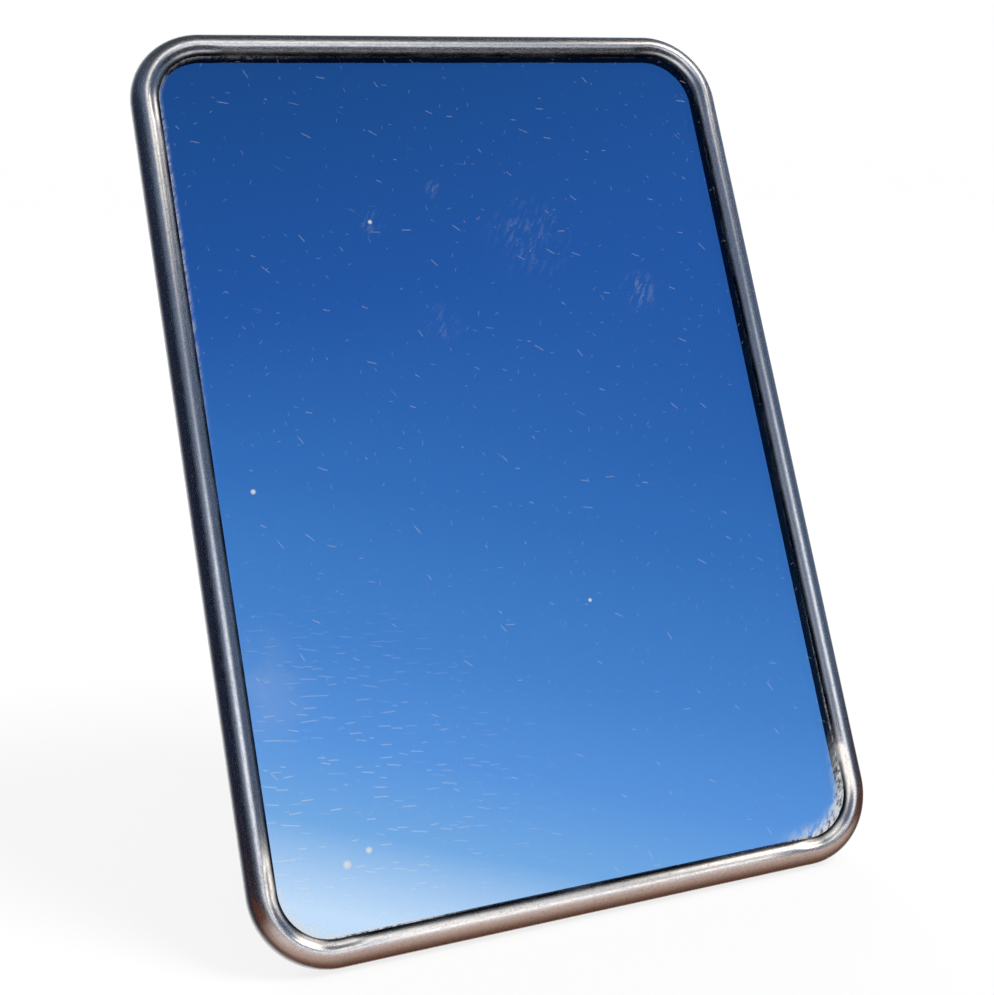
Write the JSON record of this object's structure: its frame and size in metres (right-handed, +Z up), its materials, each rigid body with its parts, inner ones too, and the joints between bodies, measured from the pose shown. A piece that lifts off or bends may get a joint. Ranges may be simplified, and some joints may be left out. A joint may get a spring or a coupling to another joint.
{
  "type": "barber mirror",
  "caption": "Upright table and wall mirror with rounded corners in a round plated metal bead, leaning back on a folding wire leg, with a hanging ring behind.",
  "frame": {"origin": "on the table, in the middle of the space that the standing mirror takes up", "axes": "+X to the right of a person who looks into the mirror, -Y towards that person, +Z up; the mirror leans back 28 degrees from upright"},
  "size_m": [0.17, 0.133, 0.2128],
  "materials": {
    "bead_plating": "bright plating, finely scratched and a little worn",
    "sleeve_steel": "plain mild steel",
    "clear_glass": "polished float glass, finely scratched",
    "silvering": "silvered, worn at the lower corners",
    "grey_card": "plain grey board",
    "plate_zinc": "dull zinc-coated sheet",
    "hinge_nickel": "thin nickel plating, dulled",
    "rivet_steel": "domed steel rivets",
    "wire_nickel": "nickel-plated wire"
  },
  "bodies": {
    "mirror": {"frame_bead": "bead_plating", "joint_sleeve": "sleeve_steel", "mirror_glass": "clear_glass", "mirror_silvering": "silvering", "packing_card": "grey_card", "back_plate": "plate_zinc", "hinge_plate": "hinge_nickel", "hinge_rivets": "rivet_steel", "hanger_strap": "hinge_nickel", "hanger_rivets": "rivet_steel"},
    "leg": {"wire_strut": "wire_nickel"},
    "ring": {"hanging_ring": "wire_nickel"}
  },
  "joints": [
    {"name": "leg_fold", "type": "hinge", "parent": "mirror", "child": "leg", "pos_m": [0, 0.02066, 0.14663], "axis": [-1, 0, 0], "range_deg": [0, 45]},
    {"name": "ring_swing", "type": "hinge", "parent": "mirror", "child": "ring", "pos_m": [0, 0.04678, 0.19958], "axis": [1, 0, 0], "range_deg": [-29, 147]}
  ]
}
